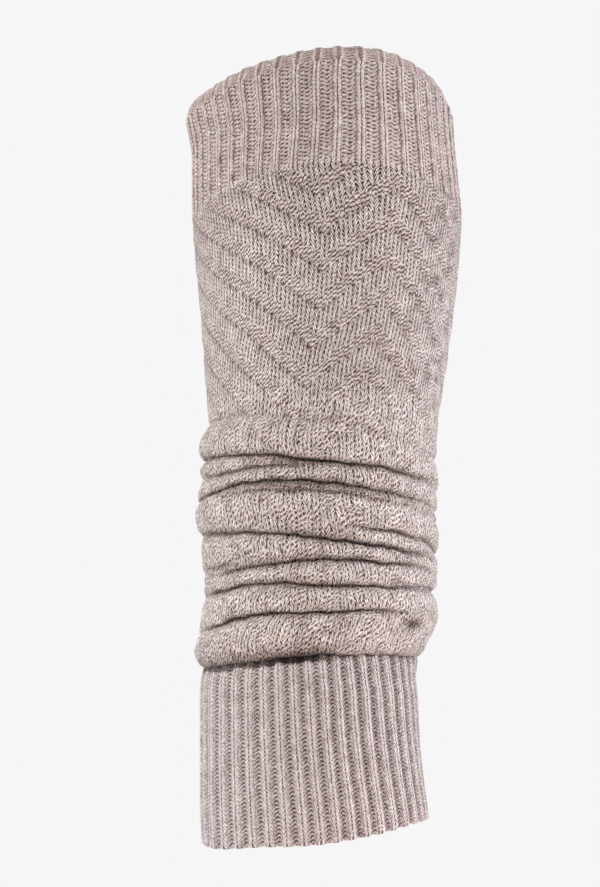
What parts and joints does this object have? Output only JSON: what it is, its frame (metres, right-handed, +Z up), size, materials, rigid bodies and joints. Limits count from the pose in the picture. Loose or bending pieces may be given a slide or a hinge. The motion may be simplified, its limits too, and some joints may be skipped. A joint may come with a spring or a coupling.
{
  "type": "leg warmer",
  "caption": "Long knitted leg warmer slouched as worn: ribbed top cuff, chevron-knit leg with a stack of soft folds, and a deep ribbed ankle cuff, hollow and open at both ends.",
  "frame": {"origin": "on the tube's axis, in the middle of the top cuff's grip on the calf", "axes": "+Z up along the leg towards the knee, -Y towards the front, +X to the right as seen from the front"},
  "size_m": [0.1283, 0.1253, 0.3609],
  "materials": {
    "rib_knit": "matte ribbed melange knit",
    "chevron_knit": "matte melange knit in knit and purl chevrons"
  },
  "bodies": {
    "root": {"top_cuff": "rib_knit", "leg": "chevron_knit", "ankle_cuff": "rib_knit"}
  },
  "joints": []
}
